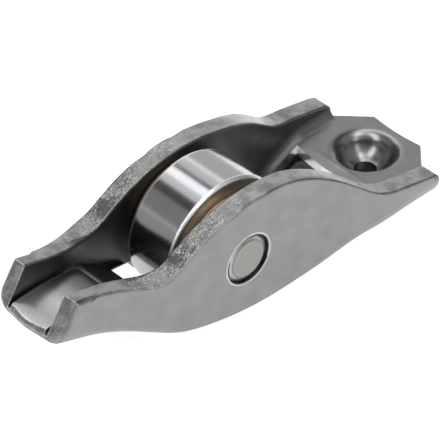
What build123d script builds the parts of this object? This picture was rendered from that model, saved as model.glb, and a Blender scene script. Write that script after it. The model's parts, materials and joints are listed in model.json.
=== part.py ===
from build123d import *
from math import asin, cos, hypot, pi, radians, sin, sqrt, tan
import os

os.makedirs("parts", exist_ok=True)

# Roller rocker arm, lying with its underside up.
# Frame: origin on the axle where it crosses the middle plane, X toward the pivot socket,
# Y across the arm, Z toward the valve stem and the pivot.  Millimetres.

# ---- cam roller and its needle bearing ----
roller_dia = 17.5
roller_width = 7.3
roller_rim = 0.5              # rounding of the outer rims
axle_dia = 6.3
needle_dia = 1.6
bearing_play = 0.02           # radial play inside and outside the needle ring
needle_spacing = 0.03         # least room between two needles
needle_end_play = 0.10        # each end, to the thrust washers
needle_rim = 0.2              # bevel at the needle ends
washer_dia = 13.8
washer_bore_play = 0.10
washer_side_play = 0.06       # washer to roller face

# ---- pressed sheet body, plan view ----
sheet = 2.75
inner_mid = 5.07              # half width between the walls beside the roller
inner_valve = 3.40            # half width of the guide channel at the valve
inner_socket = 8.05           # half width between the walls at the pivot
outer_valve = 5.60            # the walls are coined thinner at the valve
outer_mid = inner_mid + sheet
outer_socket = inner_socket + sheet
neck_from, neck_to = -21.0, -11.6    # walls widen from the channel to the roller bay
flare_from, flare_to = 6.2, 23.4     # walls widen from the roller bay to the socket
coin_run = 0.8                # the inner wall starts to widen this much later
plate_end = 33.0
plate_end_half = 4.0          # half length of the end edge, between the cut corners
plate_draw_in = 0.30          # the end edge is pulled in by the drawn cup
plate_corner_round = 0.5

# ---- pressed sheet body, side view ----
bend_valve = 2.4              # outside radius of the bend at the valve
bend_socket = 4.0             # outside radius of the bend at the pivot
edge_soft = 0.35              # lower corner of the blanked wall beside the roller
die_roll = 0.7                # outer upper edges, drawn round by the blanking die
rim_soft = 0.3                # inner upper edges
tip_top = (-24.3, 6.3)        # upper corner of the tip face
tip_rake = 0.624              # lean of the tip face, X per Z
tip_bulge = 0.45              # the web stands out past the wall ends
tip_soft = 0.8
coin_clear = 0.01             # the coined rounding runs out this far outside the sheet
ramp_slope = -0.245           # wall tops from the tip down to the valley
valve_valley_radius = 5.5
valve_flank = 30.96           # steepness of the hump in degrees
hump_crest = (1.77, 8.33)
hump_radius = 21.6
socket_flank = 38.65
socket_valley_radius = 8.0
tail_top = (29.2, -1.756)     # wall tops at the pivot end
tail_slope = -0.195
end_round = 0.8               # upper corner of the wall ends
plate_top = -3.33
plate_bottom = plate_top - sheet
web_slope = -0.36             # underside of the web from the tip to the roller bay
web_break = (-11.6, -4.75)    # here the bend ends and the blanked wall begins
wall_low = (5.0, -8.10)       # lowest point of the walls

# ---- valve pad ----
pad_half = 2.95
pad_crown = 26.0
pad_apex = (-22.8, 2.65)
pad_back = -16.9              # here the crown runs out into the ramp
pad_crest = 6.0               # rounding from the crown into the ramp
groove_floor = 1.75           # relief grooves beside the pad
web_edge = (-11.2, -2.3)      # upper edge of the roller window

# ---- roller window in the web ----
window_valve_half = 4.0
window_socket_x = 21.6
window_socket_half = 6.7
window_corner = 1.0
bay_from, bay_to = -8.4, 9.4  # here the web is cut away up to the walls

# ---- pivot socket ----
socket_x = 27.45
ball_dia = 7.0
ball_z = -3.10               # height of the ball centre
lip_round = 1.2
dome_wall = 2.1
oil_hole_dia = 2.9

# ---- staked axle ends ----
stake_groove = 0.25
stake_depth = 0.5
axle_recess = 0.10
axle_end_ring = 0.65
axle_end_step = 0.35


def blend(x, x0, x1, a, b):
    """Smooth step from a at x0 to b at x1."""
    t = min(max((x - x0) / (x1 - x0), 0.0), 1.0)
    return a + (b - a) * t * t * (3 - 2 * t)


def outer_half(x):
    """Half width over the walls at x."""
    if x < 0:
        return blend(x, neck_from, neck_to, outer_valve, outer_mid)
    return blend(x, flare_from, flare_to, outer_mid, outer_socket)


def lower_radius(x):
    """Outside rounding of the lower corner at x."""
    if x < 0:
        return blend(x, neck_from + 4.0, neck_to + 2.5, bend_valve, edge_soft)
    return blend(x, flare_from, flare_to - 5.0, edge_soft, bend_socket)


def underside(x):
    """Height of the underside at x."""
    if x < web_break[0]:
        return web_break[1] + web_slope * (x - web_break[0])
    if x < wall_low[0]:
        t = (wall_low[0] - x) / (wall_low[0] - web_break[0])
        return wall_low[1] + (web_break[1] - wall_low[1]) * t * t
    return blend(x, wall_low[0] + 5.0, flare_to + 1.5, wall_low[1], plate_bottom)


def meet(p, slope_p, q, slope_q):
    """Where a line through p and a line through q cross, each given by its slope."""
    x = (q[1] - p[1] + slope_p * p[0] - slope_q * q[0]) / (slope_p - slope_q)
    return (x, p[1] + slope_p * (x - p[0]))


def section(x, grow=0.0):
    """Outside cross-section of the channel at x."""
    h = outer_half(x) + grow
    low = underside(x) - grow
    r = lower_radius(x)
    k = r * (1 - cos(radians(45)))
    top = 12.0
    outline = [
        Line((-h, top), (-h, low + r)),
        ThreePointArc((-h, low + r), (-h + k, low + k), (-h + r, low)),
        Line((-h + r, low), (h - r, low)),
        ThreePointArc((h - r, low), (h - k, low + k), (h, low + r)),
        Line((h, low + r), (h, top)),
        Line((h, top), (-h, top)),
    ]
    frame = Plane(origin=(x, 0, 0), x_dir=(0, 1, 0), z_dir=(1, 0, 0))
    return frame * make_face(outline)


def rounded(corners):
    """Closed outline from (u, v, radius) corners."""
    face = make_face(Polyline(*[(u, v) for u, v, r in corners], close=True))
    for u, v, r in corners:
        if r:
            face = fillet(face.vertices().sort_by_distance((u, v, 0))[0], r)
    return face


def across(profile, half):
    """Extrude an X-Z outline both ways across the arm."""
    return extrude(Plane.XZ * profile, amount=half, both=True)


def step_curve(x0, y0, x1, y1):
    """Smooth step in plan, as one curve."""
    third = (x1 - x0) / 3
    return Bezier((x0, y0), (x0 + third, y0), (x1 - third, y1), (x1, y1))


def plan_inside(x0, x1):
    """Plan outline of the space between the walls."""
    edges = [
        Line((x0, -inner_valve), (x0, inner_valve)),
        Line((x1, -inner_socket), (x1, inner_socket)),
    ]
    a, b = neck_from + coin_run, neck_to + 1.0 + coin_run
    for s in (1, -1):
        edges += [
            Line((x0, s * inner_valve), (a, s * inner_valve)),
            step_curve(a, s * inner_valve, b, s * inner_mid),
            Line((b, s * inner_mid), (flare_from, s * inner_mid)),
            step_curve(flare_from, s * inner_mid, flare_to, s * inner_socket),
            Line((flare_to, s * inner_socket), (x1, s * inner_socket)),
        ]
    return make_face(edges)


def wall_rims(solid, outer):
    """Long edges along the tops of the walls, on the outer or the inner side."""
    band = die_roll + 0.3
    picked = []
    for face in solid.faces():
        c = face.center()
        reaches_out = any(abs(v.Y) > outer_half(v.X) - band for v in face.vertices())
        if c.Z < -4 or face.normal_at(c).Z < 0.3 or not reaches_out:
            continue
        for e in face.edges():
            m = e.center()
            outside_edge = abs(m.Y) > outer_half(m.X) - band
            if outside_edge == outer and abs(m.Y) > 2 and abs(e.tangent_at(0.5).Y) < 0.6:
                picked.append(e)
    return picked


# ---------------------------------------------------------------- arm body
outside = loft([section(-30 + 3.0 * i) for i in range(23)])
x_left, x_right = -29.8, 35.5
rise, fall = radians(valve_flank), radians(socket_flank)
hump_start = (hump_crest[0] - hump_radius * sin(rise), hump_crest[1] - hump_radius * (1 - cos(rise)))
hump_stop = (hump_crest[0] + hump_radius * sin(fall), hump_crest[1] - hump_radius * (1 - cos(fall)))
side_outline = rounded([
    (x_left, tip_top[1] + ramp_slope * (x_left - tip_top[0]), 0),
    (*meet(tip_top, ramp_slope, hump_start, tan(rise)), valve_valley_radius),
    (*meet(hump_start, tan(rise), hump_stop, -tan(fall)), hump_radius),
    (*meet(hump_stop, -tan(fall), tail_top, tail_slope), socket_valley_radius),
    (x_right, tail_top[1] + tail_slope * (x_right - tail_top[0]), 0),
    (x_right, -12.0, 0),
    (x_left, -12.0, 0),
])
# rounded upper edges of the blanked walls
blank = outside & across(side_outline, 15)
blank = fillet(wall_rims(blank, True), die_roll)
# tip face, leaning back and bulged where it crosses the web, with a coined edge
tip_x = tip_top[0] - tip_rake * tip_top[1]
nose = tip_x - tip_bulge
reach = inner_valve + 0.2
tip_plan = make_face([
    Polyline((tip_x, reach), (tip_x, 12), (60, 12), (60, -12), (tip_x, -12), (tip_x, -reach)),
    Bezier((tip_x, -reach), (tip_x, -reach * 2 / 3), (nose, -reach / 3), (nose, 0)),
    Bezier((nose, 0), (nose, reach / 3), (tip_x, reach * 2 / 3), (tip_x, reach)),
])
lean = Vector(tip_rake, 0, 1)
tip_keep = extrude(tip_plan, 12 * lean.length, dir=lean)
tip_keep += extrude(tip_plan, 12 * lean.length, dir=-lean)
coined = loft([section(-30 + 3.0 * i, coin_clear) for i in range(23)]) & tip_keep
tip_rim = [
    e for e in coined.edges()
    if abs(e.center().X - e.center().Z * tip_rake - tip_x) < tip_bulge + 0.1
    and e.center().Z < 11
]
coined = fillet(tip_rim, tip_soft)
body = blank & coined

inside_outline = rounded([
    (-34.0, 14.0, 0),
    (-34.0, groove_floor, 0),
    (pad_back + 0.6, groove_floor, 1.5),
    (web_edge[0], web_edge[1], 0),
    (bay_from, web_edge[1] - 1.1, 0),
    (bay_from, -14.0, 0),
    (bay_to, -14.0, 0),
    (bay_to, -4.9, 0),
    (17.0, -4.7, 6.0),
    (flare_to, plate_top, 6.0),
    (40.0, plate_top, 0),
    (40.0, 14.0, 0),
])
inside = across(inside_outline, 12) & extrude(plan_inside(-34, 40), 20, both=True)
inner_bends = [
    e for e in inside.edges()
    if e.center().X > bay_to and e.center().Z < plate_top + 0.2
    and abs(e.center().Y) > inner_mid and abs(e.tangent_at(0.5).X) > 0.8
]
inside = fillet(inner_bends, bend_socket - sheet)
body -= inside
body = fillet(wall_rims(body, False), rim_soft)

# valve pad: a crowned block between two relief grooves
def crown(x):
    return pad_apex[1] - pad_crown + sqrt(pad_crown**2 - (x - pad_apex[0]) ** 2)


pad_tip = tip_x + tip_rake * crown(tip_x + 1.5)
pad_low = groove_floor - 0.3
pad_profile = make_face([
    ThreePointArc((pad_tip - 1.5, crown(pad_tip - 1.5)), pad_apex, (pad_back, crown(pad_back))),
    Polyline((pad_back, crown(pad_back)), (web_edge[0] - 1.2, web_edge[1] + 0.85),
             (web_edge[0] - 1.2, web_edge[1] - 1.0), (pad_back, pad_low - 1.0),
             (pad_tip, pad_low), (pad_tip - 1.5, crown(pad_tip - 1.5))),
])
crest = pad_profile.vertices().sort_by_distance((pad_back, crown(pad_back), 0))[0]
pad_profile = fillet(crest, pad_crest)
pad_wide = Pos(-20, 0, 0) * Box(30, 2 * pad_half, 30)
pad = across(pad_profile, 10) & pad_wide & tip_keep
body += pad

# window for the roller
window = rounded([
    (web_edge[0], -window_valve_half, window_corner),
    (6.0, -window_valve_half, 0),
    (window_socket_x, -window_socket_half, window_corner),
    (window_socket_x, window_socket_half, window_corner),
    (6.0, window_valve_half, 0),
    (web_edge[0], window_valve_half, window_corner),
])
body -= Pos(0, 0, -15) * extrude(window, 14)

# socket end: walls stop short, plate corners are cut, end edge is drawn in
half = outer_socket + 1
corner_half = inner_socket - 0.15
wall_end = tail_top[0]
body -= Pos(wall_end + 10, 0, plate_top + 10) * Box(20, 2 * half, 20)
tilt = hypot(1, tail_slope)
round_x = wall_end - end_round
round_z = tail_top[1] - tail_slope * end_round - end_round * tilt
corner = Pos(round_x + 5 - end_round * tail_slope / tilt, 0, round_z + 5) * Box(10, 2 * half, 10)
body -= corner - Pos(round_x, 0, round_z) * Rot(90, 0, 0) * Cylinder(end_round, 2 * half + 2)
end_cut = make_face([
    Polyline((plate_end, plate_end_half), (wall_end, corner_half), (wall_end, half),
             (45, half), (45, -half), (wall_end, -half), (wall_end, -corner_half),
             (plate_end, -plate_end_half)),
    ThreePointArc((plate_end, -plate_end_half), (plate_end - plate_draw_in, 0),
                  (plate_end, plate_end_half)),
])
for y in (-plate_end_half, plate_end_half):
    end_corner = end_cut.vertices().sort_by_distance((plate_end, y, 0))[0]
    end_cut = fillet(end_corner, plate_corner_round)
body -= extrude(end_cut, 20, both=True)

# pivot socket: drawn dome, ball cup, rounded lip, oil hole
ball_r = ball_dia / 2
dome_r = ball_r + dome_wall
lip_z = plate_top - lip_round
lip_r = sqrt((ball_r + lip_round) ** 2 - (lip_z - ball_z) ** 2)
run_in = ball_r / (ball_r + lip_round)
lip_foot = (lip_r * run_in, ball_z + (lip_z - ball_z) * run_in)
dome = Pos(0, 0, ball_z) * Sphere(dome_r) & Pos(0, 0, plate_bottom - 9.5) * Box(30, 30, 20)
body += Pos(socket_x, 0, 0) * dome
mouth = make_face([
    Polyline(lip_foot, (0, lip_foot[1]), (0, 6), (lip_r, 6), (lip_r, plate_top)),
    TangentArc((lip_r, plate_top), lip_foot, tangent=(-1, 0)),
])
cup = revolve(Plane.XZ * mouth, Axis.Z)
cup += Pos(0, 0, ball_z) * Sphere(ball_r) & Pos(0, 0, lip_foot[1] - 10) * Box(20, 20, 20)
cup += Pos(0, 0, -8) * Cylinder(oil_hole_dia / 2, 12)
body -= Pos(socket_x, 0, 0) * cup

# axle seats, with the groove left by staking
body -= Rot(90, 0, 0) * Cylinder(axle_dia / 2, 40)
rim_cone = Cone(axle_dia / 2, axle_dia / 2 + stake_groove, stake_depth)
for side in (1, -1):
    place = Pos(0, side * (outer_mid - stake_depth / 2), 0) * Rot(-90 * side, 0, 0)
    body -= place * rim_cone
export_step(body, "parts/arm_body.step")

# ---------------------------------------------------------------- axle
axle_half = outer_mid - axle_recess
axle_r = axle_dia / 2
axle_outline = make_face(Polyline(
    (0, -axle_half), (axle_r - axle_end_ring, -axle_half),
    (axle_r, -axle_half + axle_end_step), (axle_r, axle_half - axle_end_step),
    (axle_r - axle_end_ring, axle_half), (0, axle_half), close=True,
))
axle = Rot(-90, 0, 0) * revolve(Plane.XZ * axle_outline, Axis.Z)
export_step(axle, "parts/axle_pin.step")

# ---------------------------------------------------------------- roller
pitch_r = axle_r + bearing_play + needle_dia / 2
race_r = pitch_r + needle_dia / 2 + bearing_play
roller = Cylinder(roller_dia / 2, roller_width)
roller = fillet(roller.edges().filter_by(GeomType.CIRCLE), roller_rim)
roller -= Cylinder(race_r, roller_width * 2)
race_edges = [e for e in roller.edges().filter_by(GeomType.CIRCLE) if e.radius < race_r + 0.1]
roller = chamfer(race_edges, 0.2)
export_step(Rot(90, 0, 0) * roller, "parts/cam_roller.step")

# ---------------------------------------------------------------- thrust washers
washer_from = roller_width / 2 + washer_side_play
washer_thick = inner_mid - washer_from
washer = Cylinder(washer_dia / 2, washer_thick)
washer = chamfer(washer.edges().filter_by(GeomType.CIRCLE), 0.2)
washer -= Cylinder(axle_r + washer_bore_play, washer_thick * 2)
washer_y = washer_from + washer_thick / 2
for name, side in (("near", -1), ("far", 1)):
    placed = Pos(0, side * washer_y, 0) * Rot(90, 0, 0) * washer
    export_step(placed, f"parts/thrust_washer_{name}.step")

# ---------------------------------------------------------------- needles
needle_count = int(pi / asin((needle_dia + needle_spacing) / (2 * pitch_r)))
needle_length = 2 * (washer_from - needle_end_play)
needle = Cylinder(needle_dia / 2, needle_length)
needle = chamfer(needle.edges().filter_by(GeomType.CIRCLE), needle_rim)
for i in range(needle_count):
    angle = 360 / needle_count * i
    placed = Rot(0, angle, 0) * Pos(0, 0, pitch_r) * Rot(90, 0, 0) * needle
    export_step(placed, f"parts/needle_{i + 1:02d}.step")
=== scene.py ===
# %% [markdown]
# # A roller rocker arm, dressed for a studio picture
# The arm lies with its underside up: a pressed steel channel, a cam roller on a staked
# axle, and a ball socket at one end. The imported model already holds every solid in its
# place, so this lesson adds what a drawing can't say: broken edges, the finish of each
# steel, and soft studio light.

import json
from math import atan2, cos, hypot, pi, radians, sin, sqrt

import bmesh
import bpy
import numpy as np
from mathutils import Matrix, Vector


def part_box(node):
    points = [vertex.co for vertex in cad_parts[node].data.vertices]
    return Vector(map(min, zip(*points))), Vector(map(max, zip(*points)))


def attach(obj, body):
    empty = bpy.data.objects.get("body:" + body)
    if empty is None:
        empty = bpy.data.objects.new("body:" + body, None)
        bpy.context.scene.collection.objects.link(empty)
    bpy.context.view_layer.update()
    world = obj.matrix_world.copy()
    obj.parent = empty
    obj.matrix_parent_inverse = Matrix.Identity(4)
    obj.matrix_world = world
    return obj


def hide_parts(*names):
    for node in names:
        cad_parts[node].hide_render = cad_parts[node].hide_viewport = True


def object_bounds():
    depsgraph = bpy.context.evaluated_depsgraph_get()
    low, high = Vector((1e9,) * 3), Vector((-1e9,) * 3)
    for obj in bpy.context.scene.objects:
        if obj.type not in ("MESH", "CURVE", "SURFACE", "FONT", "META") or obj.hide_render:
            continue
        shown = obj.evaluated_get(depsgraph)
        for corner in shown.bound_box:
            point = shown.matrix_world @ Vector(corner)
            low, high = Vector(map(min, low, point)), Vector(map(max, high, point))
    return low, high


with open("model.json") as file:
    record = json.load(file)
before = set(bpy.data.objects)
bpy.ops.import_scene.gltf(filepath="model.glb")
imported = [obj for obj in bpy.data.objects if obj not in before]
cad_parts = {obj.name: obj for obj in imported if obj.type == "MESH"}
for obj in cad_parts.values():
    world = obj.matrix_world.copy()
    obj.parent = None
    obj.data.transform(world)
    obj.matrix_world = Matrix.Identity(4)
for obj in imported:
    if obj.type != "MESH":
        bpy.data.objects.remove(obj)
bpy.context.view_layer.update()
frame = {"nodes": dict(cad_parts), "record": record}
nodes = frame["nodes"]
MM = 0.001

print("solids in the frame:", len(nodes))

# %% [markdown]
# ## Places that the finishes need
# A finish changes from place to place: the pad is polished by the valve, the cup by the
# ball, and the sheared rims are rougher than the rolled sheet. A shader can find those
# places if it knows a few positions. They are read from the frame where it has them, so
# that they follow the model when it changes.

# %% Landmarks, in millimetres
mounts = {m["name"]: m for m in frame["record"]["mounts"]}
socket_x, _, ball_z = [v / MM for v in mounts["pivot_socket"]["pos_m"]]
roller_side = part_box("cam_roller")[1][1] / MM
ball_r = 3.5
plate_z = -3.33
outer_wall_y = 4.4
print("socket at", socket_x, "ball centre at", ball_z, "roller side at", round(roller_side, 2))

# %% [markdown]
# ## The arm as a dressed copy
# The arm is one pressing, and most of it is right as it comes. Four places are finished on
# a copy of its mesh, which then stands in for the solid: the rims, the lip of the cup, the
# window's long edges and the window's corners. The solid comes as separate patches that
# carry exact normals, so the copy is first joined into one skin that keeps them.

# %% One skin for the copy


def corner_normals(mesh):
    found = np.empty(len(mesh.loops) * 3, np.float32)
    mesh.corner_normals.foreach_get("vector", found)
    return found.reshape(-1, 3)


def closed(mesh, gap=0.0005):
    """Join the copy's separate patches into one skin and keep its shading."""
    normals = corner_normals(mesh).copy()
    skin = bmesh.new()
    skin.from_mesh(mesh)
    bmesh.ops.remove_doubles(skin, verts=skin.verts, dist=gap * MM)
    skin.to_mesh(mesh)
    skin.free()
    if len(mesh.loops) == len(normals):
        mesh.normals_split_custom_set(normals)
    return mesh


arm_mesh = closed(nodes["arm_body"].data.copy())
print("arm copy:", len(arm_mesh.polygons), "faces", len(arm_mesh.vertices), "points")

# %% [markdown]
# ## Reading the slopes of the rims
# The rounding along the outer rims lies between the wall and the flat of the rim, and both
# turn along the arm. Two lines describe that: the wall's half width and the slope of the
# flat, each as a function of x. They are read from the faces that lie in either, and
# evened out over a millimetre or two, so that no single sliver steers the result.

# %% Slopes along the arm
grid_step = 0.25
grid = np.arange(-27.0, 34.0, grid_step)
rim_bottom_z = -3
rim_reach = 2.0


def wall_line(mesh, place):
    """The outer wall's half width over the grid."""
    found = {}
    for face in mesh.polygons:
        n = face.normal
        if abs(n.y) <= 0.9 or abs(n.z) >= 1e-3:
            continue
        for x, y, _ in place[list(face.vertices)]:
            key = round(float(x), 1)
            if n.y * y > 0 and abs(y) > outer_wall_y:
                found[key] = max(found.get(key, 0), abs(float(y)))
    return np.interp(grid, sorted(found), [found[k] for k in sorted(found)])


def slope_line(mesh, place, half):
    """The slope of the rim's flat over the grid."""
    found = {}
    for face in mesh.polygons:
        n = face.normal
        if abs(n.y) > 0.01 or n.z < 0.3:
            continue
        for x, y, z in place[list(face.vertices)]:
            if z > rim_bottom_z and 0 < np.interp(x, grid, half) - abs(y) < rim_reach:
                found.setdefault(round(float(x), 1), []).append(n.x / n.z)
    return np.interp(grid, sorted(found), [np.median(found[k]) for k in sorted(found)])


def evened(line, width=7):
    padded = np.pad(line, width // 2, mode="edge")
    return np.convolve(padded, np.ones(width) / width, mode="valid")


def points_of(mesh):
    found = np.empty(len(mesh.vertices) * 3, np.float32)
    mesh.vertices.foreach_get("co", found)
    return found.reshape(-1, 3) / MM


arm_points = points_of(arm_mesh)
half_width = wall_line(arm_mesh, arm_points)
rim_slope = evened(slope_line(arm_mesh, arm_points, half_width))
wall_flare = evened(np.gradient(half_width, grid_step))
print("widest half width:", round(float(half_width.max()), 2))

# %% [markdown]
# ## Crisp rims
# A blanked edge keeps a crisp rounding of a few tenths of a millimetre. A rounding between
# two planes shrinks without leaving them if each of its points moves along the sum of the
# two plane normals and back along its own. The zone round the axle is left alone, because
# the staked end lies there. This way has a weakness: some faces fold over, most where the
# moved stretch begins and ends and low on the walls near x -18 mm. The near rim shows a
# dark wedge there at the pad end and a dark smudge at the socket end.

# %% Draw the rims back
die_roll, crisp_roll = 0.7, 0.3
rims_from, rims_to = -21.5, 28.0
stake_zone = 4.5
least_turn = 0.02


def rim_planes(x, y):
    """Unit normals of the wall and of the rim's flat at one place."""
    wall = np.array([-np.interp(x, grid, wall_flare), np.sign(y), 0.0])
    top = np.array([np.interp(x, grid, rim_slope), 0.0, 1.0])
    return wall / np.linalg.norm(wall), top / np.linalg.norm(top)


def in_rounding(n, wall, top):
    """Whether a face with normal n lies between the wall and the flat."""
    return (n @ wall >= least_turn and n @ top >= least_turn + wall @ top
            and n[2] >= least_turn and abs(n[1]) >= least_turn)


def crisp_rims(mesh, place, radius, wanted):
    """Shrink the rounding along the outer rims from one radius to another."""
    normals = corner_normals(mesh)
    shift, hits = np.zeros((len(place), 3)), np.zeros(len(place))
    for face in mesh.polygons:
        corners = place[list(face.vertices)]
        x, y, z = corners.mean(axis=0)
        inward = np.interp(corners[:, 0], grid, half_width) - abs(corners[:, 1])
        if (inward.max() > radius + 0.04 or np.hypot(x, z) < stake_zone
                or not rims_from < x < rims_to):
            continue
        wall, top = rim_planes(x, y)
        if not in_rounding(np.array(face.normal), wall, top):
            continue
        middle = (wall + top) / (1 + wall @ top)
        for loop in face.loop_indices:
            v = mesh.loops[loop].vertex_index
            shift[v] += (radius - wanted) * (middle - normals[loop])
            hits[v] += 1
    shift /= np.maximum(hits, 1)[:, None]
    place += shift
    mesh.vertices.foreach_set("co", (place * MM).astype(np.float32).ravel())
    mesh.normals_split_custom_set(normals)
    print("rim points moved:", int((hits > 0).sum()), "most mm:",
          round(float(np.abs(shift).max()), 3))


crisp_rims(arm_mesh, arm_points, die_roll, crisp_roll)

# %% [markdown]
# ## The lip of the cup
# The ball socket is drawn with a wide rolled lip, on which the light makes a crescent. A
# wider roll has to stay tangent to the plate and to the ball, so its circle follows from
# those two. Each point keeps its share of the turn from the plate down to the ball.

# %% Widen the lip
lip_roll, wide_lip = 1.2, 1.9


def lip_circle(rounding):
    """Where the centre of the lip's rounding runs: its radius and height."""
    z = plate_z - rounding
    return sqrt((ball_r + rounding) ** 2 - (z - ball_z) ** 2), z


def widen_lip(mesh, radius, wanted, close=0.01):
    """Roll the cup's lip wider, still tangent to the plate and to the ball."""
    (old_r, old_z), (new_r, new_z) = lip_circle(radius), lip_circle(wanted)
    stretch = ((atan2(ball_z - new_z, -new_r) - pi / 2) /
               (atan2(ball_z - old_z, -old_r) - pi / 2))
    normals, turned = corner_normals(mesh).copy(), {}
    for vertex in mesh.vertices:
        x, y, z = vertex.co / MM
        r = hypot(x - socket_x, y)
        off = abs(hypot(r - old_r, z - old_z) - radius)
        if r > old_r + close / 2 or z < old_z or off > close:
            continue
        out = Vector((x - socket_x, y, 0)) / r
        turn = pi / 2 + (atan2(z - old_z, r - old_r) - pi / 2) * stretch
        face = out * cos(turn) + Vector((0, 0, sin(turn)))
        vertex.co = (Vector((socket_x, 0, new_z)) + out * new_r + face * wanted) * MM
        turned[vertex.index] = face
    for loop in mesh.loops:
        if loop.vertex_index in turned:
            normals[loop.index] = turned[loop.vertex_index]
    mesh.normals_split_custom_set(normals)
    print("lip points moved:", len(turned))


widen_lip(arm_mesh, lip_roll, wide_lip)
pressed_arm = bpy.data.objects.new("pressed_arm", arm_mesh)
bpy.context.scene.collection.objects.link(pressed_arm)

# %% [markdown]
# ## The edges of the window
# The window was pierced before the sheet was bent, so its long edges lie in the bends and
# lean outward; there the light of the floor comes through. Its corners at the socket are
# sharp, as the punch left them. Both are taken out with a prism and a Boolean modifier,
# once on each side, and the result is kept as a plain mesh.

# %% Cutters
edge_lean = 1.12
edge_ends = ((-11.2, 3.76, -2.3), (-5.6, 4.75, -3.95))
edge_inward, edge_outward = 2.0, 4.0
corner_plan = ((19.0, 2.0), (21.6, 2.0), (22.2, 6.72), (19.0, 6.24))
corner_low, corner_high = -9.0, -2.0


def prism(name, side, first, last):
    """A solid between two rings of points, mirrored to one side of the arm."""
    bar = bmesh.new()
    first, last = [[bar.verts.new(Vector((x, side * y, z)) * MM) for x, y, z in ring]
                   for ring in (first, last)]
    bar.faces.new(first)
    bar.faces.new(list(reversed(last)))
    for i in range(len(first)):
        j = (i + 1) % len(first)
        bar.faces.new((first[j], first[i], last[i], last[j]))
    bmesh.ops.recalc_face_normals(bar, faces=bar.faces)
    mesh = bpy.data.meshes.new(name)
    bar.to_mesh(mesh)
    bar.free()
    return bpy.data.objects.new(name, mesh)


def edge_cutter(side):
    """What the leaning edge lacks, as a wedge."""
    rings = [((x, y - edge_inward, z + edge_inward * edge_lean),
              (x, y + edge_outward, z - edge_outward * edge_lean),
              (x, y - edge_inward, z - edge_outward * edge_lean))
             for x, y, z in edge_ends]
    return prism("edge_cutter", side, *rings)


def corner_cutter(side):
    """The window's corner at the socket, down through the sheet."""
    rings = [[(x, y, z) for x, y in corner_plan] for z in (corner_low, corner_high)]
    return prism("corner_cutter", side, *rings)


def cut(piece, cutter):
    """Take the cutter's shape out of the piece for good."""
    bpy.context.scene.collection.objects.link(cutter)
    tool = piece.modifiers.new("cut", "BOOLEAN")
    tool.operation = "DIFFERENCE"
    tool.object = cutter
    tool.solver = "EXACT"
    graph = bpy.context.evaluated_depsgraph_get()
    piece.data = bpy.data.meshes.new_from_object(piece.evaluated_get(graph))
    piece.modifiers.clear()
    bpy.data.objects.remove(cutter)


for side in (1, -1):
    cut(pressed_arm, edge_cutter(side))
    cut(pressed_arm, corner_cutter(side))
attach(pressed_arm, "arm")
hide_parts("arm_body")
print("dressed arm:", len(pressed_arm.data.polygons), "faces")

# %% [markdown]
# ## A small kit for metal
# Bare metal in Blender is one Principled shader with Metallic at 1: the base colour is the
# tint of its reflections and the roughness is how far they blur. What makes it look like
# a worked surface is the variation on top: grain, blotches and tiny dents. Each metal below
# is built from the same few steps, so they become helpers. Every pattern reads Object
# coordinates in metres, so a scale of 1000 means one cell a millimetre.

# %% Node helpers


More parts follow.
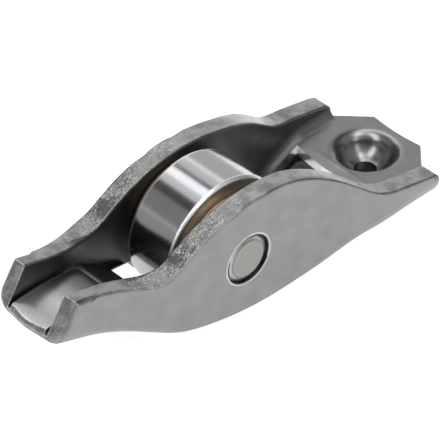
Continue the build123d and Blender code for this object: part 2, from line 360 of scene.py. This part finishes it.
class Finish:
    """One material and the few node moves that the finishes share."""

    def __init__(self, name):
        self.material = bpy.data.materials.new(name)
        self.material.use_nodes = True
        self.tree = self.material.node_tree
        self.shader = self.tree.nodes["Principled BSDF"]
        self.shader.inputs["Metallic"].default_value = 1.0
        place = self.tree.nodes.new("ShaderNodeTexCoord")
        self.position = place.outputs["Object"]
        self.facing = place.outputs["Normal"]

    def node(self, kind, **settings):
        made = self.tree.nodes.new(kind)
        for key, value in settings.items():
            setattr(made, key, value)
        return made

    def put(self, value, socket):
        """Link a socket, or set a plain number."""
        if isinstance(value, bpy.types.NodeSocket):
            self.tree.links.new(value, socket)
        else:
            socket.default_value = value

    def math(self, operation, a, b=0.0, c=0.0, clamp=False):
        made = self.node("ShaderNodeMath", operation=operation, use_clamp=clamp)
        for value, socket in zip((a, b, c), made.inputs):
            self.put(value, socket)
        return made.outputs[0]

    def split(self, vector):
        made = self.node("ShaderNodeSeparateXYZ")
        self.put(vector, made.inputs[0])
        return made.outputs

    def ramp(self, value, low, high):
        """0 below low, 1 above high, smooth between; falls where low is above high."""
        made = self.node("ShaderNodeMapRange", interpolation_type="SMOOTHSTEP")
        rising = low < high
        self.put(value, made.inputs["Value"])
        self.put(min(low, high), made.inputs["From Min"])
        self.put(max(low, high), made.inputs["From Max"])
        self.put(0.0 if rising else 1.0, made.inputs["To Min"])
        self.put(1.0 if rising else 0.0, made.inputs["To Max"])
        return made.outputs["Result"]

    def span(self, value, low_mm, high_mm):
        """A ramp between two places in millimetres."""
        return self.ramp(value, low_mm * MM, high_mm * MM)

    def radius(self, a, b):
        return self.math("SQRT", self.math("ADD", self.math("MULTIPLY", a, a),
                                           self.math("MULTIPLY", b, b)))

    def all_of(self, *masks):
        result = masks[0]
        for mask in masks[1:]:
            result = self.math("MULTIPLY", result, mask)
        return result

    def noise(self, cells_per_mm, stretch=(1, 1, 1), detail=3.0, roughness=0.55):
        """Cloudy pattern; a stretch under 1 draws it out along that axis."""
        mapping = self.node("ShaderNodeMapping")
        self.put(self.position, mapping.inputs["Vector"])
        mapping.inputs["Scale"].default_value = stretch
        made = self.node("ShaderNodeTexNoise")
        self.put(mapping.outputs[0], made.inputs["Vector"])
        made.inputs["Scale"].default_value = cells_per_mm / MM
        made.inputs["Detail"].default_value = detail
        made.inputs["Roughness"].default_value = roughness
        return made.outputs["Fac"]

    def between(self, mask, a, b):
        """The number a where mask is 0 and b where it is 1."""
        made = self.node("ShaderNodeMix", data_type="FLOAT")
        self.put(mask, made.inputs[0])
        self.put(a, made.inputs[2])
        self.put(b, made.inputs[3])
        return made.outputs[0]

    def tint(self, mask, a, b):
        """The colour a where mask is 0 and b where it is 1."""
        made = self.node("ShaderNodeMix", data_type="RGBA")
        self.put(mask, made.inputs[0])
        for value, socket in ((a, made.inputs[6]), (b, made.inputs[7])):
            self.put(value if isinstance(value, bpy.types.NodeSocket) else (*value, 1.0), socket)
        return made.outputs[2]

    def dents(self, height, depth_mm, strength=1.0, below=None):
        """Bump whose height runs from 0 to depth_mm."""
        made = self.node("ShaderNodeBump")
        made.inputs["Distance"].default_value = depth_mm * MM
        made.inputs["Strength"].default_value = strength
        self.put(height, made.inputs["Height"])
        if below is not None:
            self.put(below, made.inputs["Normal"])
        return made.outputs["Normal"]

    def edges(self, radius_mm, low=0.01, high=0.08):
        """1 along edges: where a rounded normal and the true one part."""
        rounded = self.node("ShaderNodeBevel", samples=4)
        rounded.inputs["Radius"].default_value = radius_mm * MM
        true = self.node("ShaderNodeNewGeometry")
        alike = self.node("ShaderNodeVectorMath", operation="DOT_PRODUCT")
        self.put(rounded.outputs[0], alike.inputs[0])
        self.put(true.outputs["Normal"], alike.inputs[1])
        return self.ramp(alike.outputs["Value"], 1 - low, 1 - high)

    def paint(self, colour, roughness, normal=None):
        colour_socket = self.shader.inputs["Base Color"]
        if isinstance(colour, bpy.types.NodeSocket):
            self.put(colour, colour_socket)
        else:
            colour_socket.default_value = (*colour, 1.0)
        self.put(roughness, self.shader.inputs["Roughness"])
        if normal is not None:
            self.put(normal, self.shader.inputs["Normal"])
        return self.material


print("helpers ready")

# %% [markdown]
# ## The pressed arm
# The arm is blanked from sheet, bent to a channel and case hardened. The rolled faces stay
# satin. The rims were sheared: they are coarser and glitter where the tool dragged, most
# on the ramps beside the roller. The pad and the cup are coined smooth, because the valve
# and the ball rub there. One material does all of it with masks made from position and
# facing, because the arm is one piece of steel and its finishes run into each other.

# %% Where each finish of the arm lies


def rims_and_coined(f, x, side, z, up):
    """The sheared rims, and the faces that the valve and the ball polish."""
    rim = f.all_of(f.ramp(up, 0.45, 0.8), f.span(side, 3.3, 3.6), f.span(z, -2.6, -2.0))
    near_roller = f.all_of(f.span(x, -17, -11), f.span(x, 2, -5))
    from_ball = f.radius(f.math("SUBTRACT", x, socket_x * MM), side)
    return {
        "rim": rim,
        "coarse": f.all_of(rim, f.math("MULTIPLY_ADD", near_roller, 0.8, 0.2)),
        "cup": f.all_of(f.span(from_ball, 5.2, 4.6), f.span(z, -3.34, -3.5)),
        "pad": f.all_of(f.span(x, -16.0, -18.0), f.span(side, 3.0, 2.9),
                        f.ramp(up, 0.80, 0.9), f.span(z, 3.5, 3.2)),
    }


def stake_and_edges(f, x, side, z, forward, up):
    """Painted shade round the axle, its pressed rim, edges with wear and painted highlight."""
    from_axle = f.radius(x, z)
    outside = f.span(side, 7.0, 7.2)
    seen = f.math("MAXIMUM", f.ramp(up, 0.15, 0.3), f.ramp(forward, -0.35, -0.5))
    return {
        # Painted shade: a near-black ring in the staking recess round the axle.
        "groove": f.all_of(outside, f.span(from_axle, 3.36, 3.32)),
        "staked": f.all_of(outside, f.span(from_axle, 3.32, 3.36),
                           f.span(from_axle, 3.62, 3.50)),
        # Edges with wear and a painted highlight: lightened only where they face up or towards
        # the pad end.
        "worn_edge_painted_highlight": f.all_of(f.edges(0.22), seen, f.span(z, -3.6, -3.2)),
        "end_face": f.all_of(f.ramp(forward, -0.6, -0.75), f.span(x, -20, -21)),
    }


def inside_and_window(f, x, side, z, forward, inward, up):
    """Painted shade between the walls, and the window's edge: burnished above, torn below."""
    shade = f.math("MULTIPLY_ADD", f.all_of(f.span(x, -19, -13), f.span(x, 26, 18)),
                   0.55, 0.45)
    web = f.all_of(f.span(x, -17.6, -15.6), f.span(x, -5, -7), f.span(side, 5.1, 4.9),
                   f.ramp(up, 0.3, 0.5))
    face = f.all_of(f.ramp(forward, -0.4, -0.6), f.span(x, 20.5, 21), f.span(x, 23, 22.5),
                    f.span(z, -3.1, -3.3))
    below_web = f.math("SUBTRACT", z, f.math("MULTIPLY_ADD", x, 0.267, -9.24 * MM))
    pierced = f.math("SUBTRACT", side, f.math("MULTIPLY_ADD", x, 0.2, 3.05 * MM))
    long_edge = f.all_of(f.ramp(inward, -0.6, -0.8), f.span(x, 11, 12),
                         f.span(x, 22.5, 22.3), f.span(pierced, 0.1, -0.1),
                         f.span(below_web, -1.7, -1.4))
    return {
        # Painted shade: the faces between the walls and the web are darkened in colour.
        "dark": f.math("MAXIMUM", f.all_of(f.ramp(inward, -0.4, -0.7), shade), web),
        "burnished": f.math("MAXIMUM", f.all_of(face, f.span(z, -5.3, -5.0)), long_edge),
        "fracture": f.all_of(face, f.span(z, -5.0, -5.2)),
    }


def arm_places(f):
    """Every mask of the arm by name."""
    x, y, z = f.split(f.position)
    forward, sideways, up = f.split(f.facing)
    side = f.math("ABSOLUTE", y)
    inward = f.math("MULTIPLY", f.math("SIGN", y), sideways)
    return {**rims_and_coined(f, x, side, z, up),
            **stake_and_edges(f, x, side, z, forward, up),
            **inside_and_window(f, x, side, z, forward, inward, up),
            # The pad's front zone carries a painted highlight and its back zone painted shade.
            "pad_front_painted_highlight": f.span(x, -21.0, -23.5), "pad_back": f.span(x, -21.5, -18.0)}


print("places of the arm's finishes are named")

# %% [markdown]
# ## Layers of the arm's colour
# The colour is built like paint, one layer over the last: satin steel, the rims with their
# glitter, the coined faces with a painted highlight at the pad's front and painted shade at
# its back, painted shade between the walls, and last edges with wear and a painted
# highlight, and painted shade in the ring round the axle. Each layer is one mask and one tint.

# %% Steel of the arm
tints = {
    "satin_low": (0.203, 0.204, 0.21), "satin_high": (0.248, 0.248, 0.253),
    "rim": (0.36, 0.355, 0.345), "torn_bright": (0.80, 0.79, 0.77),
    "torn_dark": (0.20, 0.20, 0.20), "cup": (0.30, 0.296, 0.29),
    # The pad's front tint is a painted highlight and its back tint is painted shade.
    "pad_front_painted_highlight": (0.46, 0.455, 0.45), "pad_back": (0.12, 0.12, 0.12),
    "end_dark": (0.15, 0.148, 0.145), "end_bright": (0.50, 0.49, 0.48),
    # The tint for the faces between the walls is painted shade, not a colour of the steel.
    "painted_inside_shade": (0.085, 0.085, 0.09), "burnished": (0.72, 0.70, 0.67),
    # The pale edge tint is wear with a painted highlight.
    "fracture": (0.05, 0.048, 0.045), "worn_edge_painted_highlight": (0.78, 0.77, 0.75),
    # The near-black tint is painted shade in the staking recess.
    "groove": (0.02, 0.02, 0.02), "staked": (0.48, 0.475, 0.465),
}


def arm_colour(f, at, cloud, patch, shear, clustered):
    layers = (
        (f.all_of(at["rim"], f.ramp(patch, 0.35, 0.65)), "rim"),
        (f.all_of(clustered, f.ramp(shear, 0.50, 0.70)), "torn_bright"),
        (f.all_of(clustered, f.ramp(shear, 0.48, 0.34)), "torn_dark"),
        (at["cup"], "cup"),
        # Painted highlight at the pad's front, painted shade at its back.
        (f.all_of(at["pad"], at["pad_front_painted_highlight"]), "pad_front_painted_highlight"),
        (f.all_of(at["pad"], at["pad_back"]), "pad_back"),
        (f.all_of(at["end_face"], f.ramp(patch, 0.60, 0.40)), "end_dark"),
        (f.all_of(at["end_face"], f.ramp(shear, 0.55, 0.75)), "end_bright"),
        # Painted shade between the walls and on the web.
        (at["dark"], "painted_inside_shade"),
        (at["burnished"], "burnished"),
        (at["fracture"], "fracture"),
        # Edges with wear and a painted highlight.
        (f.all_of(at["worn_edge_painted_highlight"], f.ramp(shear, 0.30, 0.55)), "worn_edge_painted_highlight"),
        # Painted shade in the staking recess round the axle.
        (at["groove"], "groove"),
        (at["staked"], "staked"),
    )
    colour = f.tint(f.ramp(cloud, 0.3, 0.7), tints["satin_low"], tints["satin_high"])
    for mask, name in layers:
        colour = f.tint(mask, colour, tints[name])
    return colour


def arm_roughness(f, at, cloud, drawn):
    roughness = f.between(f.ramp(cloud, 0.3, 0.7), 0.36, 0.46)
    roughness = f.math("MULTIPLY_ADD", f.math("SUBTRACT", drawn, 0.5), 0.16, roughness)
    for name, value in (("rim", 0.32), ("cup", 0.27), ("pad", 0.24), ("burnished", 0.25)):
        roughness = f.between(at[name], roughness, value)
    return roughness


def arm_steel(fine_mm=0.006, torn_mm=0.16):
    f = Finish("pressed_arm_steel")
    at = arm_places(f)
    cloud = f.noise(0.35, detail=4.0)
    patch = f.noise(0.55, detail=3.0, roughness=0.6)
    drawn = f.noise(2.5, stretch=(0.12, 1.0, 0.6), detail=3.0)
    pits = f.noise(6.0, detail=2.0, roughness=0.7)
    shear = f.noise(5.0, stretch=(1.0, 0.6, 1.0), detail=3.0, roughness=0.7)
    clustered = f.all_of(at["coarse"], f.ramp(patch, 0.42, 0.58))
    fine = f.dents(f.math("ADD", f.math("MULTIPLY", drawn, 0.4), pits), fine_mm)
    torn = f.math("MULTIPLY_ADD", clustered, 0.8, f.math("MULTIPLY", at["coarse"], 0.2))
    torn = f.math("MAXIMUM", torn, f.math("MULTIPLY", at["end_face"], 0.5))
    return f.paint(arm_colour(f, at, cloud, patch, shear, clustered),
                   arm_roughness(f, at, cloud, drawn),
                   f.dents(f.all_of(shear, torn), torn_mm, below=fine))


arm_finish = arm_steel()
print("made", arm_finish.name)

# %% [markdown]
# ## Torn grains on the blanked rims
# Where the punch tore the sheet, small grains of steel stand up and glitter. They repeat by
# the hundred over a surface, which is what Geometry Nodes are for: points are scattered
# over the rim's ramps, thicker in some patches than in others, and each gets a flat
# twenty-sided crumb. The crumbs are made real and end as one plain mesh.

# %% The rims' flat beside the roller
grains_from, grains_to = -16.5, 1.0
flat_up, flat_sideways = 0.6, 0.05


def rim_patch(mesh):
    """The flat of the rims beside the roller, as a mesh of its own."""

    def off_rim(face):
        middle = face.calc_center_median() / MM
        return (face.normal.z < flat_up or abs(face.normal.y) > flat_sideways
                or not grains_from < middle.x < grains_to
                or middle.z < 0 or abs(middle.y) < outer_wall_y)

    patch = bmesh.new()
    patch.from_mesh(mesh)
    loose = [face for face in patch.faces if off_rim(face)]
    bmesh.ops.delete(patch, geom=loose, context="FACES")
    found = bpy.data.meshes.new("rim_patch")
    patch.to_mesh(found)
    patch.free()
    return found


grains = bpy.data.objects.new("torn_grains", rim_patch(pressed_arm.data))
bpy.context.scene.collection.objects.link(grains)
print("rim patch:", len(grains.data.polygons), "faces")

# %% [markdown]
# ## The tree that scatters
# A node tree is a recipe. Its inputs have names and hold the sizes, and its nodes run in a
# line: noise makes the density uneven, points are scattered by it, a crumb is set on each
# point and turned to the surface, the crumbs become real faces and get the arm's steel.

# %% Tree of the grains
patch_scale = 0.55 / MM
patch_edge = (0.46, 0.60)
crumb_sizes = (0.5, 1.3)


class Tree:
    """A Geometry Nodes tree and the inputs that it is given by name."""

    def __init__(self, title, numbers):
        self.group = bpy.data.node_groups.new(title, "GeometryNodeTree")
        self.socket("Geometry", "NodeSocketGeometry")
        self.named = {name: self.socket(name, kind) for name, kind in numbers.items()}
        self.socket("Geometry", "NodeSocketGeometry", "OUTPUT")
        self.given = self.node("NodeGroupInput")

    def socket(self, name, kind, way="INPUT"):
        made = self.group.interface.new_socket(name, in_out=way, socket_type=kind)
        return made.identifier

    def node(self, kind, values=None, **settings):
        made = self.group.nodes.new(kind)
        for key, value in settings.items():
            setattr(made, key, value)
        for key, value in (values or {}).items():
            made.inputs[key].default_value = value
        return made

    def link(self, source, output, target, entry):
        self.group.links.new(source.outputs[output], target.inputs[entry])


def grain_tree(material):
    tree = Tree("torn_grains", {"Density": "NodeSocketFloat", "Width": "NodeSocketFloat",
                                "Height": "NodeSocketFloat", "Seed": "NodeSocketInt"})
    patches = tree.node("ShaderNodeTexNoise", {"Scale": patch_scale})
    thick = tree.node("ShaderNodeMapRange",
                      {"From Min": patch_edge[0], "From Max": patch_edge[1]})
    density = tree.node("ShaderNodeMath", operation="MULTIPLY")
    scatter = tree.node("GeometryNodeDistributePointsOnFaces")
    crumb = tree.node("GeometryNodeMeshIcoSphere", {"Radius": 0.5, "Subdivisions": 1})
    flat = tree.node("ShaderNodeCombineXYZ")
    vary = tree.node("FunctionNodeRandomValue", {2: crumb_sizes[0], 3: crumb_sizes[1]},
                     data_type="FLOAT")
    size = tree.node("ShaderNodeVectorMath", operation="SCALE")
    place = tree.node("GeometryNodeInstanceOnPoints")
    real = tree.node("GeometryNodeRealizeInstances")
    coat = tree.node("GeometryNodeSetMaterial", {"Material": material})
    result = tree.node("NodeGroupOutput")
    for link in ((patches, "Fac", thick, "Value"), (thick, "Result", density, 0),
                 (tree.given, "Density", density, 1),
                 (tree.given, "Geometry", scatter, "Mesh"),
                 (density, "Value", scatter, "Density"),
                 (tree.given, "Seed", scatter, "Seed"),
                 (tree.given, "Width", flat, "X"), (tree.given, "Width", flat, "Y"),
                 (tree.given, "Height", flat, "Z"), (flat, "Vector", size, 0),
                 (vary, 1, size, "Scale"), (scatter, "Points", place, "Points"),
                 (scatter, "Rotation", place, "Rotation"),
                 (crumb, "Mesh", place, "Instance"), (size, "Vector", place, "Scale"),
                 (place, "Instances", real, "Geometry"),
                 (real, "Geometry", coat, "Geometry"),
                 (coat, "Geometry", result, "Geometry")):
        tree.link(*link)
    return tree


grain_recipe = grain_tree(arm_finish)
print("tree:", len(grain_recipe.group.nodes), "nodes, inputs", list(grain_recipe.named))

# %% Grow the grains and keep them as a mesh
grain_values = {"Density": 36.0 / MM ** 2, "Width": 0.14 * MM, "Height": 0.07 * MM, "Seed": 7}
scattered = grains.modifiers.new("scatter", "NODES")
scattered.node_group = grain_recipe.group
for name, value in grain_values.items():
    scattered[grain_recipe.named[name]] = value
graph = bpy.context.evaluated_depsgraph_get()
grains.data = bpy.data.meshes.new_from_object(grains.evaluated_get(graph))
grains.modifiers.clear()
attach(grains, "arm")
print("torn grains:", len(grains.data.polygons), "faces")

# %% [markdown]
# ## The ground parts
# The roller is ground and honed round its axis, which leaves hair-fine lines that run with
# the turning. Noise that is stretched nearly flat along the ground direction gives them:
# on the roller the pattern changes only along the axle. Its rounded rims are painted paler,
# a painted sheen, and made rougher. The axle's ends are turned, so their lines are rings
# about the axle, with a ring of painted shade where the staking tool pressed and a pale rim
# outside.

# %% Steel of the roller, axle and needles


def ground_steel(name, colour, roughness, lines=0.0015, rim_from=None):
    """Ground along a circle about the Y axis: the lines change along Y only."""
    f = Finish(name)
    lined = f.noise(9.0, stretch=(0.02, 1.0, 0.02), detail=4.0, roughness=0.7)
    cloud = f.noise(0.5, detail=2.0)
    rough = f.math("MULTIPLY_ADD", f.math("SUBTRACT", lined, 0.5), 0.12, roughness)
    rough = f.math("MULTIPLY_ADD", f.math("SUBTRACT", cloud, 0.5), 0.06, rough)
    if rim_from is not None:
        side = f.math("ABSOLUTE", f.split(f.position)[1])
        # The rounded rims are painted paler, a painted sheen, and made rougher.
        rim_sheen = f.span(side, rim_from - 0.05, rim_from + 0.05)
        colour = f.tint(rim_sheen, colour, (0.80, 0.785, 0.75))
        rough = f.between(rim_sheen, rough, 0.40)
    return f.paint(colour, rough, f.dents(lined, lines))


def turned_steel(name, colour, roughness):
    """Turned end faces: rings about the Y axis, through the origin."""
    f = Finish(name)
    x, _, z = f.split(f.position)
    radius = f.radius(x, z)
    rings = f.node("ShaderNodeTexNoise", noise_dimensions="1D")
    f.put(radius, rings.inputs["W"])
    rings.inputs["Scale"].default_value = 4.0 / MM
    rings.inputs["Detail"].default_value = 3.0
    cloud = f.noise(0.6)
    rough = f.math("MULTIPLY_ADD", f.math("SUBTRACT", cloud, 0.5), 0.2, roughness)
    # A ring of painted shade where the staking tool pressed the pin's end.
    line = f.all_of(f.span(radius, 2.38, 2.46), f.span(radius, 2.60, 2.52))
    tinted = f.tint(f.math("MULTIPLY", line, 0.5), colour, (0.08, 0.08, 0.08))
    tinted = f.tint(f.span(radius, 2.55, 2.65), tinted, (0.36, 0.35, 0.335))
    return f.paint(tinted, rough, f.dents(rings.outputs["Fac"], 0.004))


rim_fillet = 0.5
roller_finish = ground_steel("ground_roller_steel", (0.41, 0.41, 0.425), 0.17,
                             rim_from=roller_side - rim_fillet)
needle_finish = ground_steel("ground_needle_steel", (0.66, 0.66, 0.65), 0.15)
axle_finish = turned_steel("turned_axle_steel", (0.245, 0.24, 0.23), 0.38)
print("made", roller_finish.name, needle_finish.name, axle_finish.name)

# %% [markdown]
# ## The thrust washers
# Bronze keeps the roller off the walls. It is the only warm colour here, and mostly hidden:
# it shows as a brown glow in the gap beside the roller.

# %% Bronze of the washers


def oiled_bronze():
    f = Finish("oiled_bronze")
    cloud = f.noise(0.8, detail=3.0)
    colour = f.tint(f.ramp(cloud, 0.3, 0.7), (0.36, 0.25, 0.15), (0.50, 0.37, 0.24))
    return f.paint(colour, f.between(cloud, 0.32, 0.5), f.dents(f.noise(5.0), 0.004))


washer_finish = oiled_bronze()
print("made", washer_finish.name)

# %% [markdown]
# ## Putting the finishes on
# A solid whose shape is right keeps its mesh and only changes material. Filling the
# object's slots does that and leaves the shared mesh untouched.

# %% Assign
finish_of = {"axle_pin": axle_finish, "cam_roller": roller_finish, "arm_body": arm_finish}
pressed_arm.data.materials.clear()
pressed_arm.data.materials.append(arm_finish)
for name, solid in nodes.items():
    if name.startswith("needle"):
        finish = needle_finish
    elif name.startswith("thrust_washer"):
        finish = washer_finish
    else:
        finish = finish_of[name]
    for material_slot in solid.material_slots:
        material_slot.material = finish
print("dressed", len(nodes), "solids")

# %% [markdown]
# ## Floor and light
# Metal shows its surroundings, so the light is built as a small set: a bright paper floor,
# dim walls, one broad panel behind the part, narrow bright strips overhead, and two tall
# soft boxes beside the camera. Broad panels give the flat faces their even grey, the strips
# draw a line on every round, and the dark between them gives the steel its contrast.
# A panel is set by its brightness, so its power follows from its area.

# %% Floor
paper_white = 0.9
paper_glow = 0.72
shade_at = (26.0 * MM, 4.5 * MM, 0)
shade_from, shade_to = 4.8 * MM, 8.0 * MM
shade_grey = 0.16

floor_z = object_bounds()[0][2]
bpy.ops.mesh.primitive_plane_add(size=4.0, location=(0, 0, floor_z))
floor = bpy.context.object
floor.name = "studio_floor"
paper = bpy.data.materials.new("white_paper")
paper.use_nodes = True
paper_shader = paper.node_tree.nodes["Principled BSDF"]
for name, value in (("Roughness", 0.9), ("Specular IOR Level", 0.0),
                    ("Emission Color", (1, 1, 1, 1))):
    paper_shader.inputs[name].default_value = value
print("floor at", round(floor_z / MM, 2), "mm")

# %% [markdown]
# ## A patch of shade
# The paper glows, so it keeps no shadow of its own, and it would shine through the oil hole
# and the window's corner at the socket. A round patch of it is painted dark instead. That
# suits the view from the camera here; from behind, the patch shows as a dark ellipse on the
# floor beside the socket end.

# %% Shade under the socket
spot = paper.node_tree.nodes.new("ShaderNodeTexCoord")
reach = paper.node_tree.nodes.new("ShaderNodeVectorMath")
reach.operation = "DISTANCE"
reach.inputs[1].default_value = shade_at
glow = paper.node_tree.nodes.new("ShaderNodeMapRange")
glow.interpolation_type = "SMOOTHSTEP"
for name, value in (("From Min", shade_from), ("From Max", shade_to), ("To Max", paper_glow)):
    glow.inputs[name].default_value = value
shadow = paper.node_tree.nodes.new("ShaderNodeValToRGB")
for stop, grey, position in zip(shadow.color_ramp.elements, (shade_grey, paper_white),
                                (0.0, paper_glow)):
    stop.color, stop.position = (grey, grey, grey, 1), position
for output, entry in ((spot.outputs["Object"], reach.inputs[0]),
                      (reach.outputs["Value"], glow.inputs["Value"]),
                      (glow.outputs["Result"], paper_shader.inputs["Emission Strength"]),
                      (glow.outputs["Result"], shadow.inputs["Fac"]),
                      (shadow.outputs["Color"], paper_shader.inputs["Base Color"])):
    paper.node_tree.links.new(output, entry)
floor.data.materials.append(paper)
print("shade round", [round(v / MM, 1) for v in shade_at[:2]], "mm")

# %% [markdown]
# ## Lamps
# Each panel stands in a direction out from the part. A round form shows a panel as a band,
# so the directions that the roller mirrors lie on one arc, and an angle picks a place on
# it. The tent is a dim even grey, which is what the dark parts of the metal show.

# %% Tent and panels
world = bpy.data.worlds.new("tent")
bpy.context.scene.world = world
world.use_nodes = True
tent = world.node_tree.nodes["Background"]
tent.inputs["Color"].default_value = (1, 1, 1, 1)
tent.inputs["Strength"].default_value = 0.10


def panel(name, towards, distance, size, brightness):
    """A lit panel in that direction from the part, level along its own width."""
    lamp = bpy.data.lights.new(name, "AREA")
    lamp.shape = "RECTANGLE"
    lamp.size, lamp.size_y = size
    lamp.energy = brightness * pi * size[0] * size[1]
    out = Vector(towards).normalized()
    across = Vector((0, 1, 0)).cross(out).normalized()
    turn = Matrix((across, out.cross(across), out)).transposed().to_4x4()
    holder = bpy.data.objects.new(name, lamp)
    holder.matrix_world = Matrix.Translation(out * distance) @ turn
    bpy.context.scene.collection.objects.link(holder)
    return holder


def along_arc(degrees, reach=0.83, side=0.56):
    """A direction on the arc that the roller mirrors to the camera."""
    return (reach * cos(radians(degrees)), side, reach * sin(radians(degrees)))


panel("back_panel", along_arc(21), 0.5, (0.46, 0.44), 0.72)
panel("back_strip", along_arc(56), 0.5, (0.17, 0.44), 1.0)
panel("overhead_hot", (0.13, 0.10, 0.98), 0.5, (0.12, 1.0), 2.3)
panel("overhead_fade", (-0.12, 0.10, 0.98), 0.5, (0.12, 1.0), 1.1)
panel("ceiling", (-0.38, -0.34, 0.86), 0.5, (0.22, 0.26), 0.6)
panel("left_wall", along_arc(139), 0.5, (0.27, 0.40), 0.28)
panel("left_low", along_arc(166), 0.5, (0.20, 0.40), 0.42)
panel("left_box", (-0.74, -0.08, 0.67), 0.5, (0.54, 0.18), 2.8)
panel("right_box", (0.00, -0.74, 0.67), 0.5, (0.13, 0.50), 2.5)
panel("front_fill", (-0.36, -0.74, 0.42), 0.55, (0.36, 0.36), 0.42)
panel("right_fill", (0.55, -0.64, 0.52), 0.5, (0.36, 0.40), 0.45)

# %% [markdown]
# ## Camera
# A long lens from about three hundred and seventy millimetres, looking down at forty
# degrees. Its place is worked out from the two angles and the distance, and its aim is
# shifted a little, because the part doesn't sit in the middle of the picture.

# %% Camera
azimuth, elevation, distance = radians(-43.24), radians(39.92), 0.3668
picture_px, focal_px, sensor_mm = 440, 3113.35, 36
origin_px = (202.89, 227.67)

back = Vector((sin(azimuth) * cos(elevation), -cos(azimuth) * cos(elevation), sin(elevation)))
right = Vector((cos(azimuth), sin(azimuth), 0))
lift = back.cross(right)
aim_x = (picture_px / 2 - origin_px[0]) / focal_px * distance
aim_y = (origin_px[1] - picture_px / 2) / focal_px * distance
camera_data = bpy.data.cameras.new("camera")
camera_data.sensor_width = sensor_mm
camera_data.lens = focal_px / picture_px * sensor_mm
camera_data.clip_start = 0.01
camera = bpy.data.objects.new("camera", camera_data)
turn = Matrix((right, lift, back)).transposed().to_4x4()
camera.matrix_world = Matrix.Translation(back * distance + right * aim_x + lift * aim_y) @ turn
bpy.context.scene.collection.objects.link(camera)
bpy.context.scene.camera = camera
bpy.context.scene.view_settings.view_transform = "Standard"
print("camera at", [round(v, 4) for v in camera.location])
